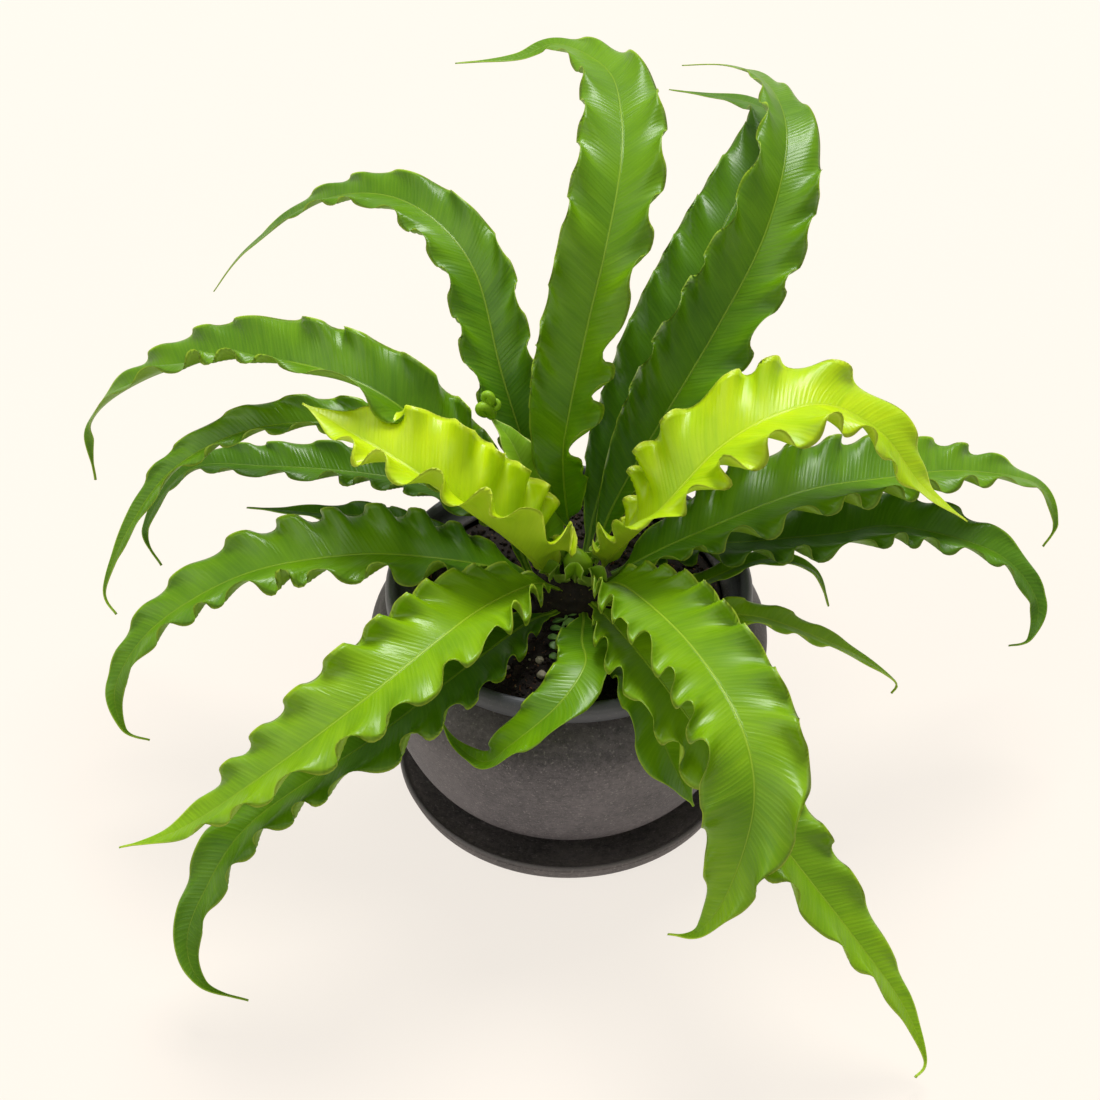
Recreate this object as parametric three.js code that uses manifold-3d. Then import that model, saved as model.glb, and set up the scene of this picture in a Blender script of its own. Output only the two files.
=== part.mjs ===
// Potted bird's nest fern with wavy-edged fronds, in a round ceramic pot on a saucer.
// Millimetres, +Z up. The origin is the middle of the saucer's underside, on the table.
// The front of the plant, where two broad fronds part above the pot's rim, faces -Y.

import * as THREE from "three";
import { mergeVertices } from "three/addons/utils/BufferGeometryUtils.js";
import Module from "manifold-3d";

const wasm = await Module();
wasm.setup();

// Pot and saucer: every radius is measured from the pot's axis, every height from the table.
const POT_SIDES = 36;
const FIT_GAP = 0.3;
const SAUCER_FOOT_RADIUS = 80;
const SAUCER_RIM_RADIUS = 88.5;
const SAUCER_HEIGHT = 15;
const SAUCER_WALL = 6;
const SAUCER_FLOOR = 6;
const SAUCER_CURL_RADIUS = 85;
const SAUCER_CURL_HEIGHT = 4;
const SAUCER_WELL_RADIUS = 78.5;
const POT_FOOT_RADIUS = 54;
const POT_FLARE_RADIUS = 76;
const POT_FLARE_RISE = 16;
const POT_SIDE_RADIUS = 89;
const POT_SIDE_RISE = 40;
const POT_BELLY_RADIUS = 100;
const POT_BELLY_HEIGHT = 90;
const POT_SHOULDER_RADIUS = 95;
const POT_SHOULDER_HEIGHT = 106.25;
const POT_NECK_RADIUS = 84;
const POT_NECK_HEIGHT = 116.5;
const POT_WALL = 7;
const LIP_RADIUS = 88;
const LIP_HEIGHT = 124;
const LIP_HALF_WIDTH = 3.4;
const LIP_HALF_HEIGHT = 6;

// Soil: a crumbly surface about 13 mm below the lip, a little higher round the crown.
const SOIL_HEIGHT = 114;
const SOIL_MOUND = 1.5;
const SOIL_CRUMB = 1.2;
const SOIL_RINGS = [78, 64, 48, 33, 18];
const SOIL_EDGE_DROP = 3;
const SOIL_SEED = 11;

// The plug of soil is drawn this far into the pot's floor and wall, whose space is then cut from it.
const PLUG_INTO_FLOOR = 1;
const PLUG_INTO_WALL = 2;

// Crown: the dome of old leaf bases that every frond grows from.
const CROWN_X = 3;
const CROWN_Y = 6;
const CROWN_HEIGHT = 112;
const CROWN_RADIUS = 22;
const CROWN_DEPTH = 14;
const CROWN_FOOT_SHARE = 0.7;
const CROWN_SIDES = 24;
const SEAT_DEPTH = 4;

// Blades: thin, with a raised midrib, a channelled middle and a ruffled margin.
const BLADE_THICKNESS = 0.8;
const MIDRIB_THICKNESS = 1.6;
const STALK_HALF_WIDTH = 2.4;
const ROWS_PER_WAVE = 4;
const WAVE_CROWDING = 0.35;
const PLEAT_SLANT = 0.04;
const BASE_FRILL = 0.3;
const FRILL_PLACE = 0.15;
const FRILL_REACH = 0.12;
const MAX_RISE = 84;
const SPREAD_START = 0.02;
const SPREAD_LENGTH = 0.3;
const STALK_TAPER = 0.7;
const MIDRIB_TAPER = 0.5;
const WAVE_SHIFT = 0.618;
const MARGIN_SHIFT = 0.37;

// Bud and creeping sprig in the middle of the plant.
const BUD_RADIUS = 8.5;
const BUD_LEAVES = 5;
const BUD_PLACE = [4, 3, 137];
const BUD_KNOB_SHARE = 0.6;
const BUD_LEAF_SHARES = [0.22, 0.5, 0.75];
const BUD_RING_SHARE = 0.66;
const BUD_DROPS = [-1, -2.5];
const SPRIG_STEM = [[-1, -13, 118], [-3, -22, 118], [-5, -34, 118], [-4, -46, 118], [-2, -58, 118]];
const SPRIG_STEM_RADIUS = 0.8;
const SPRIG_LEAVES = 11;
const SPRIG_LEAF_RADIUS = 3;
const SPRIG_LEAF_SIDES = 8;
const SPRIG_SEED = 5;

const COLOUR = {
  mature: 0x4f8f1a,
  shaded: 0x3c7a16,
  bright: 0x74b31c,
  young: 0xa9cf1e,
  bud: 0x8fbf45,
  crown: 0x4a3b26,
  soil: 0x2a211b,
  sprig: 0x5d8a34,
  pot: 0x4a474a,
  saucer: 0x3b3839,
};

const ROUGHNESS = { leaf: 0.5, sprig: 0.6, crown: 0.9, soil: 0.95, pot: 0.7, saucer: 0.75 };

// The fronds, back to front. seat is [direction round the crown, height up the dome], in degrees.
// rib holds points along the midrib after the seat. taper is where the blade starts to narrow, as a
// share of its length, and ripple how far the margin swings up and down, in degrees. fold and roll
// are angles at the base, the middle and the tip: how far both halves rise into a channel, and how
// far the blade turns about its midrib, right side up.
const FRONDS = [
  {
    name: "frond_back_middle",
    seat: [92, 56],
    rib: [[-1, 19, 154], [-3, 25, 183], [0, 29, 211], [9, 43, 255], [17, 57, 288], [24, 88, 312],
      [25, 122, 321], [19, 162, 322], [-5, 206, 311], [-26, 207, 303], [-58, 206, 300]],
    width: 46, taper: 0.5, waves: 13, ripple: 22, fold: [34, 22, 10], roll: [0, 0, 0],
    colour: COLOUR.mature,
  },
  {
    name: "frond_back_right_near",
    seat: [44, 54],
    rib: [[20, 26, 149], [34, 37, 175], [50, 49, 200], [72, 71, 230], [93, 95, 262],
      [105, 124, 287], [108, 160, 295], [101, 209, 288], [84, 246, 275], [62, 268, 262]],
    width: 50, taper: 0.3, waves: 13, ripple: 22, fold: [30, 24, 10], roll: [-10, -24, -20],
    colour: COLOUR.mature,
  },
  {
    name: "frond_back_right_far",
    seat: [72, 36],
    rib: [[13, 38, 140], [22, 56, 163], [36, 76, 184], [53, 99, 212], [74, 133, 238],
      [92, 170, 253], [106, 212, 260], [97, 248, 251], [57, 296, 230]],
    width: 44, taper: 0.36, waves: 13, ripple: 22, fold: [30, 22, 10], roll: [0, 0, 0],
    colour: COLOUR.shaded,
  },
  {
    name: "frond_back_left_arch",
    seat: [118, 40],
    rib: [[-16, 42, 154], [-33, 70, 202], [-47, 108, 239], [-72, 140, 252], [-102, 166, 247],
      [-137, 192, 222], [-175, 208, 182], [-195, 213, 152]],
    width: 38, taper: 0.35, waves: 13, ripple: 20, fold: [32, 24, 14], roll: [6, 12, 6],
    colour: COLOUR.mature,
  },
  {
    name: "frond_left_upper",
    seat: [158, 42],
    rib: [[-28, 19, 148], [-57, 32, 183], [-93, 45, 211], [-134, 65, 214], [-177, 90, 198],
      [-219, 107, 172], [-251, 116, 138], [-252, 108, 104]],
    width: 48, taper: 0.5, waves: 12, ripple: 18, fold: [34, 36, 20], roll: [0, 0, 0],
    colour: COLOUR.mature,
  },
  {
    name: "frond_left_young",
    seat: [200, 54],
    rib: [[-17, -12, 152], [-32, -14, 171], [-49, -12, 185], [-76, 0, 200], [-106, 19, 208],
      [-129, 31, 216]],
    width: 66, taper: 0.42, waves: 9, ripple: 24, fold: [62, 50, 16], roll: [-14, -4, 6],
    colour: COLOUR.young,
  },
  {
    name: "frond_left_middle",
    seat: [166, 26],
    rib: [[-34, 26, 146], [-73, 40, 168], [-108, 58, 180], [-157, 56, 180], [-197, 48, 162],
      [-221, 36, 134], [-236, 22, 104], [-230, 13, 94]],
    width: 30, taper: 0.45, waves: 13, ripple: 20, fold: [28, 30, 14], roll: [0, 0, 0],
    colour: COLOUR.mature,
  },
  {
    name: "frond_left_rear",
    seat: [140, 22],
    rib: [[-34, 40, 132], [-69, 55, 142], [-102, 63, 145], [-154, 74, 141], [-197, 85, 130],
      [-222, 76, 98], [-214, 64, 82]],
    width: 32, taper: 0.45, waves: 12, ripple: 18, fold: [22, 26, 14], roll: [0, 0, 0],
    colour: COLOUR.shaded,
  },
  {
    name: "frond_left_hidden",
    seat: [178, 14],
    rib: [[-52, 22, 129], [-96, 44, 131], [-127, 51, 129], [-166, 64, 122]],
    width: 18, taper: 0.5, waves: 7, ripple: 18, fold: [16, 20, 10], roll: [0, 0, 0],
    colour: COLOUR.shaded,
  },
  {
    name: "frond_left_lower",
    seat: [204, 34],
    rib: [[-29, -4, 138], [-65, -11, 153], [-106, -12, 156], [-159, -8, 140], [-204, -15, 113],
      [-226, -27, 84], [-223, -40, 65], [-210, -43, 60]],
    width: 52, taper: 0.38, waves: 12, ripple: 22, fold: [22, 20, 14], roll: [0, 0, 0],
    colour: COLOUR.mature,
  },
  {
    name: "frond_front_left_upper",
    seat: [236, 48],
    rib: [[-17, -20, 144], [-40, -50, 157], [-62, -82, 164], [-101, -118, 154], [-149, -135, 122],
      [-183, -139, 97], [-211, -137, 84]],
    width: 54, taper: 0.5, waves: 12, ripple: 24, fold: [24, 20, 12], roll: [0, 0, 0],
    colour: COLOUR.bright,
  },
  {
    name: "frond_front_left_lower",
    seat: [242, 20],
    rib: [[-22, -34, 130], [-55, -80, 139], [-92, -112, 130], [-149, -129, 92], [-173, -145, 60],
      [-181, -159, 40], [-173, -173, 28], [-152, -176, 20]],
    width: 44, taper: 0.45, waves: 13, ripple: 22, fold: [14, 18, 14], roll: [0, 0, 0],
    colour: COLOUR.mature,
  },
  {
    name: "frond_front_small",
    seat: [280, 20],
    rib: [[6, -46, 131], [7, -71, 138], [-6, -93, 133], [-28, -104, 118], [-40, -105, 108],
      [-54, -96, 111], [-62, -85, 118]],
    width: 28, taper: 0.5, waves: 7, ripple: 14, fold: [10, 12, 30], roll: [0, 0, 0],
    colour: COLOUR.bright,
  },
  {
    name: "frond_front_right_long",
    seat: [296, 30],
    rib: [[32, -70, 146], [57, -114, 141], [89, -150, 114], [128, -177, 71], [153, -192, 39],
      [165, -207, 16], [160, -214, 11]],
    width: 46, taper: 0.5, waves: 13, ripple: 22, fold: [24, 22, 14], roll: [0, 0, 0],
    colour: COLOUR.mature,
  },
  {
    name: "frond_front_right_wide",
    seat: [306, 48],
    rib: [[27, -33, 154], [55, -89, 169], [75, -137, 167], [81, -167, 148], [72, -184, 112],
      [58, -193, 90], [44, -188, 82]],
    width: 52, taper: 0.62, waves: 12, ripple: 24, fold: [20, 20, 12], roll: [0, 0, 0],
    colour: COLOUR.bright,
  },
  {
    name: "frond_front_right_under",
    seat: [302, 12],
    rib: [[31, -58, 126], [37, -86, 134], [45, -108, 119], [58, -122, 96]],
    width: 30, taper: 0.5, waves: 6, ripple: 16, fold: [14, 18, 10], roll: [0, 0, 0],
    colour: COLOUR.mature,
  },
  {
    name: "frond_right_young",
    seat: [6, 54],
    rib: [[24, -3, 152], [45, -9, 184], [71, 2, 211], [97, 13, 222], [124, 24, 220], [151, 24, 203],
      [172, 14, 178], [196, 11, 158]],
    width: 60, taper: 0.5, waves: 11, ripple: 24, fold: [42, 18, 14], roll: [14, 0, 0],
    colour: COLOUR.young,
  },
  {
    name: "frond_right_long",
    seat: [346, 42],
    rib: [[35, -1, 143], [61, 4, 155], [114, 20, 169], [161, 42, 160], [200, 63, 147], [243, 81, 124],
      [256, 76, 102], [250, 70, 90]],
    width: 54, taper: 0.42, waves: 12, ripple: 20, fold: [20, 20, 16], roll: [0, 0, 0],
    colour: COLOUR.mature,
  },
  {
    name: "frond_right_lower",
    seat: [22, 22],
    rib: [[55, 16, 136], [93, 12, 144], [130, 16, 145], [167, 31, 137], [217, 33, 118], [239, 22, 96],
      [236, 10, 80], [226, 11, 74]],
    width: 44, taper: 0.5, waves: 12, ripple: 20, fold: [18, 20, 16], roll: [0, 0, 0],
    colour: COLOUR.shaded,
  },
  {
    name: "frond_right_curl",
    seat: [354, 16],
    rib: [[55, -6, 128], [85, 5, 134], [102, 10, 134], [123, 12, 124], [131, 6, 106]],
    width: 12, taper: 0.6, waves: 5, ripple: 16, fold: [16, 20, 10], roll: [0, 0, 0],
    colour: COLOUR.mature,
  },
  {
    name: "frond_right_small",
    seat: [326, 18],
    rib: [[49, -26, 131], [82, -33, 136], [102, -31, 129], [138, -28, 107], [162, -29, 88],
      [161, -31, 81]],
    width: 19, taper: 0.5, waves: 7, ripple: 16, fold: [14, 16, 10], roll: [0, 0, 0],
    colour: COLOUR.bright,
  },
  {
    name: "frond_back_left_crozier",
    seat: [156, 54],
    rib: [[-13, 19, 149], [-20, 28, 169], [-29, 38, 187], [-40, 48, 196]],
    width: 22, taper: 0.6, waves: 5, ripple: 18, fold: [30, 24, 20], roll: [0, 0, 0],
    colour: COLOUR.bud,
  },
];

// A small seeded generator, so that crumbs and leaflets fall alike each time.
function seededRandom(seed) {
  let state = seed;
  return () => {
    state = (state * 1664525 + 1013904223) % 4294967296;
    return state / 4294967296;
  };
}

function material(colour, roughness) {
  return new THREE.MeshStandardMaterial({ color: colour, roughness, metalness: 0 });
}

function bare(geometry) {
  const copy = geometry.clone();
  copy.deleteAttribute("normal");
  copy.deleteAttribute("uv");
  return copy;
}

function toSolid(geometry) {
  const merged = mergeVertices(bare(geometry), 1e-4);
  const solidMesh = new wasm.Mesh({
    numProp: 3,
    vertProperties: merged.attributes.position.array,
    triVerts: new Uint32Array(merged.index.array),
  });
  return new wasm.Manifold(solidMesh);
}

function toGeometry(solid) {
  const cut = solid.getMesh();
  const geometry = new THREE.BufferGeometry();
  geometry.setAttribute("position", new THREE.BufferAttribute(cut.vertProperties, 3));
  geometry.setIndex(new THREE.BufferAttribute(cut.triVerts, 1));
  geometry.computeVertexNormals();
  return geometry;
}

// Turns a profile of [radius, height] points about the Z axis.
function turned(profile, sides) {
  const outline = profile.map(([radius, height]) => new THREE.Vector2(radius, height));
  return new THREE.LatheGeometry(outline, sides).rotateX(Math.PI / 2);
}

function curvePoints(curve, steps) {
  return curve.getPoints(steps).map((point) => [point.x, point.y]);
}

function throughPoints(list, steps) {
  const points = list.map(([radius, height]) => new THREE.Vector2(radius, height));
  return curvePoints(new THREE.SplineCurve(points), steps);
}

function saucerGeometry() {
  const wallMiddle = SAUCER_RIM_RADIUS - SAUCER_WALL / 2;
  const rimHeight = SAUCER_HEIGHT - SAUCER_WALL / 2;
  const rimRadius = SAUCER_WALL / 2;
  const outside = throughPoints([
    [SAUCER_FOOT_RADIUS, 0],
    [SAUCER_CURL_RADIUS, SAUCER_CURL_HEIGHT],
    [SAUCER_RIM_RADIUS, rimHeight],
  ], 4);
  const rim = new THREE.EllipseCurve(wallMiddle, rimHeight, rimRadius, rimRadius, 0, Math.PI);
  return turned([
    [0, 0],
    ...outside,
    ...curvePoints(rim, 4).slice(1),
    [SAUCER_WELL_RADIUS, SAUCER_FLOOR],
    [0, SAUCER_FLOOR],
  ], POT_SIDES);
}

// The belly's outline between foot and neck, moved in by the given distance.
function bellyOutline(inset, foot, steps) {
  return throughPoints([
    [POT_FOOT_RADIUS - inset, foot],
    [POT_FLARE_RADIUS - inset, foot + POT_FLARE_RISE],
    [POT_SIDE_RADIUS - inset, foot + POT_SIDE_RISE],
    [POT_BELLY_RADIUS - inset, POT_BELLY_HEIGHT],
    [POT_SHOULDER_RADIUS - inset, POT_SHOULDER_HEIGHT],
    [POT_NECK_RADIUS - inset, POT_NECK_HEIGHT],
  ], steps);
}

// The pot; a grown wall gives the space that its filling keeps clear of.
function potGeometry(grow) {
  const foot = SAUCER_FLOOR + FIT_GAP;
  const wall = POT_WALL + grow;
  const lip = new THREE.EllipseCurve(
    LIP_RADIUS, LIP_HEIGHT, LIP_HALF_WIDTH, LIP_HALF_HEIGHT, -Math.PI / 2, Math.PI);
  return turned([
    [0, foot],
    ...bellyOutline(0, foot, 9),
    [POT_NECK_RADIUS, LIP_HEIGHT - LIP_HALF_HEIGHT],
    ...curvePoints(lip, 7),
    ...bellyOutline(wall, foot + wall, 6).reverse(),
    [0, foot + wall],
  ], POT_SIDES);
}

// Soil that fills the pot: a turned plug whose top is a grid of crumbs.
function soilGeometry() {
  const random = seededRandom(SOIL_SEED);
  const foot = SAUCER_FLOOR + POT_WALL - PLUG_INTO_FLOOR;
  const side = bellyOutline(POT_WALL - PLUG_INTO_WALL, foot, 7)
    .filter(([, height]) => height < SOIL_HEIGHT - SOIL_EDGE_DROP);
  const edge = SOIL_RINGS[0];
  const top = SOIL_RINGS.map((radius) => [radius, SOIL_HEIGHT + SOIL_MOUND * (1 - radius / edge)]);
  const plug = turned([[0, foot], ...side, ...top, [0, SOIL_HEIGHT + SOIL_MOUND]], POT_SIDES);
  const geometry = mergeVertices(bare(plug), 1e-4);
  const spot = geometry.attributes.position;
  for (let i = 0; i < spot.count; i += 1) {
    const radius = Math.hypot(spot.getX(i), spot.getY(i));
    if (spot.getZ(i) > SOIL_HEIGHT - 0.1 && radius < edge - 1) {
      spot.setZ(i, spot.getZ(i) + SOIL_CRUMB * (2 * random() - 1));
    }
  }
  return geometry;
}

// The crown's dome, grown by the given distance.
function crownGeometry(grow) {
  const radius = CROWN_RADIUS + grow;
  const dome = new THREE.EllipseCurve(0, 0, radius, radius, 0, Math.PI / 2);
  return turned([
    [0, -CROWN_DEPTH - grow],
    [radius * CROWN_FOOT_SHARE, -CROWN_DEPTH - grow],
    ...curvePoints(dome, 8),
  ], CROWN_SIDES).translate(CROWN_X, CROWN_Y, CROWN_HEIGHT);
}

function seatPoint([direction, rise], depth) {
  const around = THREE.MathUtils.degToRad(direction);
  const up = THREE.MathUtils.degToRad(rise);
  const radius = CROWN_RADIUS - depth;
  return new THREE.Vector3(
    CROWN_X + radius * Math.cos(up) * Math.cos(around),
    CROWN_Y + radius * Math.cos(up) * Math.sin(around),
    CROWN_HEIGHT + radius * Math.sin(up),
  );
}

// The folded young leaves at the crown's middle, fused into one bud.
function budSolid() {
  const [thick, wide, tall] = BUD_LEAF_SHARES;
  const knob = new THREE.IcosahedronGeometry(BUD_RADIUS * BUD_KNOB_SHARE, 1).translate(...BUD_PLACE);
  let bud = toSolid(knob);
  for (let leaf = 0; leaf < BUD_LEAVES; leaf += 1) {
    const around = (leaf / BUD_LEAVES) * 2 * Math.PI;
    const scale = new THREE.IcosahedronGeometry(1, 1)
      .scale(BUD_RADIUS * thick, BUD_RADIUS * wide, BUD_RADIUS * tall)
      .translate(BUD_RADIUS * BUD_RING_SHARE, 0, BUD_DROPS[leaf % 2])
      .rotateZ(around)
      .translate(...BUD_PLACE);
    bud = bud.add(toSolid(scale));
  }
  return bud.subtract(crownSpace);
}

// A creeping sprig on the soil in front of the crown: a stem with round leaflets on both sides.
function sprigSolid() {
  const random = seededRandom(SPRIG_SEED);
  const stations = SPRIG_STEM.map(([x, y, z]) => new THREE.Vector3(x, y, z));
  const stemCurve = new THREE.CatmullRomCurve3(stations);
  const outline = new THREE.Shape().absarc(0, 0, SPRIG_STEM_RADIUS, 0, 2 * Math.PI);
  const way = { steps: 12, curveSegments: 3, extrudePath: stemCurve };
  const stem = new THREE.ExtrudeGeometry(outline, way);
  let sprig = toSolid(stem);
  for (let leaf = 1; leaf <= SPRIG_LEAVES; leaf += 1) {
    const place = stemCurve.getPointAt(leaf / (SPRIG_LEAVES + 0.5));
    const outward = leaf % 2 ? 1 : -1;
    const disc = [SPRIG_LEAF_RADIUS, SPRIG_LEAF_RADIUS, BLADE_THICKNESS, SPRIG_LEAF_SIDES];
    const leaflet = new THREE.CylinderGeometry(...disc)
      .rotateX(Math.PI / 2)
      .translate(outward * (SPRIG_LEAF_RADIUS + SPRIG_STEM_RADIUS * 0.4), 0, 0)
      .rotateY(-outward * (0.1 + 0.2 * random()))
      .rotateZ(0.5 * (random() - 0.5))
      .translate(place.x, place.y, place.z);
    sprig = sprig.add(toSolid(leaflet));
  }
  return sprig.subtract(crownSpace);
}

// Share of the full width at distance t along the frond: a stalk, a long blade, a drawn-out tip.
function widthShare(t, taper) {
  const unfolded = Math.min(1, Math.max(0, t - SPREAD_START) / SPREAD_LENGTH);
  const spread = Math.sin(unfolded * Math.PI / 2);
  const narrowing = Math.max(0, (t - taper) / (1 - taper));
  return spread * (1 - narrowing ** 2) ** 1.5;
}

// Waves sit closer together near the base.
function waveCount(t) {
  return t * (1 + WAVE_CROWDING - WAVE_CROWDING * t);
}

function rowPlace(share) {
  const b = 1 + WAVE_CROWDING;
  return (b - Math.sqrt(b * b - 4 * WAVE_CROWDING * share)) / (2 * WAVE_CROWDING);
}

function alongBlade([base, middle, tip], t) {
  return t < 0.5
    ? THREE.MathUtils.lerp(base, middle, t * 2)
    : THREE.MathUtils.lerp(middle, tip, t * 2 - 1);
}

// The frond's middle surface: rows of left margin, midrib and right margin.
function bladeRows(frond, index) {
  const inside = seatPoint(frond.seat, SEAT_DEPTH);
  const outside = seatPoint(frond.seat, -SEAT_DEPTH);
  const stations = frond.rib.map(([x, y, z]) => new THREE.Vector3(x, y, z));
  const curve = new THREE.CatmullRomCurve3([inside, outside, ...stations], false, "catmullrom", 0.5);
  const rows = frond.waves * ROWS_PER_WAVE;
  const points = [];
  for (let row = 0; row <= rows; row += 1) {
    const t = rowPlace(row / rows);
    const middle = curve.getPointAt(t);
    const along = curve.getTangentAt(t);
    const level = new THREE.Vector3(along.y, -along.x, 0).normalize();
    const roll = THREE.MathUtils.degToRad(alongBlade(frond.roll, t));
    const side = level.applyAxisAngle(along, -roll);
    const up = new THREE.Vector3().crossVectors(side, along);
    const share = widthShare(t, frond.taper);
    const stalk = STALK_HALF_WIDTH * (1 - STALK_TAPER * t);
    const halfWidth = Math.max(stalk, frond.width / 2 * share);
    const tightness = Math.exp(-(((t - FRILL_PLACE) / FRILL_REACH) ** 2));
    const frill = frond.ripple * (1 + BASE_FRILL * tightness);
    for (const edge of [-1, 0, 1]) {
      const waves = frond.waves * waveCount(t - PLEAT_SLANT * edge * edge);
      const swing = Math.sin(2 * Math.PI * (waves + WAVE_SHIFT * index + MARGIN_SHIFT * edge));
      const opened = Math.min(1, share * 2) * (alongBlade(frond.fold, t) + frill * swing);
      const rise = THREE.MathUtils.degToRad(Math.min(MAX_RISE, opened));
      points.push(middle.clone()
        .addScaledVector(side, edge * halfWidth * Math.cos(rise))
        .addScaledVector(up, Math.abs(edge) * halfWidth * Math.sin(rise)));
    }
  }
  return { points, rows };
}

// Thickens the middle surface by the same triangles above and below, and closes its edges.
function bladeGeometry(frond, index) {
  const { points, rows } = bladeRows(frond, index);
  const faces = [];
  for (let row = 0; row < rows; row += 1) {
    for (const column of [0, 1]) {
      const a = row * 3 + column;
      faces.push(a, a + 1, a + 4, a, a + 4, a + 3);
    }
  }
  const middle = new THREE.BufferGeometry().setFromPoints(points);
  middle.setIndex(faces);
  middle.computeVertexNormals();
  const normals = middle.attributes.normal;
  const count = points.length;
  const positions = [];
  for (const layer of [1, -1]) {
    points.forEach((point, i) => {
      const rib = MIDRIB_THICKNESS * (1 - MIDRIB_TAPER * i / count);
      const thickness = i % 3 === 1 ? rib : BLADE_THICKNESS;
      const normal = new THREE.Vector3().fromBufferAttribute(normals, i);
      positions.push(point.clone().addScaledVector(normal, layer * thickness / 2));
    });
  }
  const triangles = [...faces];
  for (let i = 0; i < faces.length; i += 3) {
    triangles.push(faces[i] + count, faces[i + 2] + count, faces[i + 1] + count);
  }
  const loop = [];
  for (let row = 0; row < rows; row += 1) loop.push(row * 3);
  loop.push(rows * 3, rows * 3 + 1);
  for (let row = rows; row > 0; row -= 1) loop.push(row * 3 + 2);
  loop.push(2, 1);
  loop.forEach((a, i) => {
    const b = loop[(i + 1) % loop.length];
    triangles.push(a, b, b + count, a, b + count, a + count);
  });
  const blade = new THREE.BufferGeometry().setFromPoints(positions);
  blade.setIndex(triangles);
  return blade;
}

const plant = new THREE.Group();

function addPiece(name, geometry, colour, roughness) {
  const mesh = new THREE.Mesh(geometry, material(colour, roughness));
  mesh.name = name;
  plant.add(mesh);
}

const crownSpace = toSolid(crownGeometry(FIT_GAP));
const potSpace = toSolid(potGeometry(FIT_GAP));

const soil = toSolid(soilGeometry()).subtract(potSpace).subtract(crownSpace);

addPiece("saucer", saucerGeometry(), COLOUR.saucer, ROUGHNESS.saucer);
addPiece("pot", potGeometry(0), COLOUR.pot, ROUGHNESS.pot);
addPiece("soil", toGeometry(soil), COLOUR.soil, ROUGHNESS.soil);
addPiece("crown", crownGeometry(0), COLOUR.crown, ROUGHNESS.crown);
addPiece("bud", toGeometry(budSolid()), COLOUR.bud, ROUGHNESS.leaf);
addPiece("sprig", toGeometry(sprigSolid()), COLOUR.sprig, ROUGHNESS.sprig);
FRONDS.forEach((frond, index) => {
  const blade = toSolid(bladeGeometry(frond, index)).subtract(crownSpace);
  addPiece(frond.name, toGeometry(blade), frond.colour, ROUGHNESS.leaf);
});

export default plant;
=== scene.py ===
# %% [markdown]
# # A wavy-edged bird's nest fern in a round pot
# The plant is a ring of long ruffled fronds round a low crown, in a dark bulbous pot on a saucer.
# The assembled solids are loaded first, as a fixed frame. Each visible piece is then made finer
# round them. All lengths in the tables are millimetres, and Blender itself works in metres.

# %% Load the assembled plant
import math

import bmesh
import bpy
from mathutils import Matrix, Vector, noise


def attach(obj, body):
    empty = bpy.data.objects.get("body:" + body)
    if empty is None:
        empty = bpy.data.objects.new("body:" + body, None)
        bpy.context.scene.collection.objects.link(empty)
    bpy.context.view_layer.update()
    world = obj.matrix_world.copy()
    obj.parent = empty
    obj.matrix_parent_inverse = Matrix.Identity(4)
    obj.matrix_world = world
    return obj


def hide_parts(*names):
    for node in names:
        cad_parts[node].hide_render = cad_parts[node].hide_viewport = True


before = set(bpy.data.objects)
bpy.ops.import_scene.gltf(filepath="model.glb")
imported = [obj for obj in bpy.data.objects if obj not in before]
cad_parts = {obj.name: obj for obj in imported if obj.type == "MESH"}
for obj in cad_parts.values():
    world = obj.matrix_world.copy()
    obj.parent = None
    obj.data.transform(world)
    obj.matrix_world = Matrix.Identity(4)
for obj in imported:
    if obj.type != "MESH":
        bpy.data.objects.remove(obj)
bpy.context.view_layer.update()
MM = 0.001

# %% [markdown]
# ## Studio
# The plant stands on a seamless pale table and is seen from above its front, by a long lens.
# A wide sun lamp stands for the studio's softbox: its light is as strong in every corner, so the
# table stays even, and its wide disc gives the leaves their broad, soft highlights. The world
# fills the shadows.

# %% Camera
LENS, SENSOR_WIDTH = 85, 36
CAMERA_PLACE, CAMERA_TILT = (-0.0094, -0.959, 0.990), math.radians(48.75)


def placed(name, data):
    """Puts a mesh, a lamp or a camera in the scene, at the origin."""
    thing = bpy.data.objects.new(name, data)
    bpy.context.scene.collection.objects.link(thing)
    return thing


camera_data = bpy.data.cameras.new("camera")
camera_data.lens = LENS
camera_data.sensor_width = SENSOR_WIDTH
camera = placed("camera", camera_data)
camera.location = CAMERA_PLACE
camera.rotation_euler = (CAMERA_TILT, 0, 0)
bpy.context.scene.camera = camera
print("camera:", round(Vector(CAMERA_PLACE).length, 2), "m from the middle of the table")

# %% Lights
WORLD_TONE, WORLD_STRENGTH = (1, 0.985, 0.965, 1), 0.42


def soft_sun(name, strength, spread, azimuth, height):
    """A sun lamp with a wide disc, shining from a direction. Its three angles are in degrees."""
    data = bpy.data.lights.new(name, "SUN")
    data.energy = strength
    data.angle = math.radians(spread)
    around, up = math.radians(azimuth), math.radians(height)
    toward = Vector((
        math.cos(around) * math.cos(up), math.sin(around) * math.cos(up), math.sin(up)))
    placed(name, data).rotation_euler = toward.to_track_quat("Z", "Y").to_euler()


soft_sun("softbox", 4.0, 30, 80, 62)
soft_sun("side_fill", 0.8, 50, 205, 42)
world = bpy.data.worlds.new("studio")
world.use_nodes = True
sky = world.node_tree.nodes["Background"].inputs
sky["Color"].default_value = WORLD_TONE
sky["Strength"].default_value = WORLD_STRENGTH
bpy.context.scene.world = world
bpy.context.scene.view_settings.view_transform = "Standard"
print("light: two soft suns and a world of strength", WORLD_STRENGTH)

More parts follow.
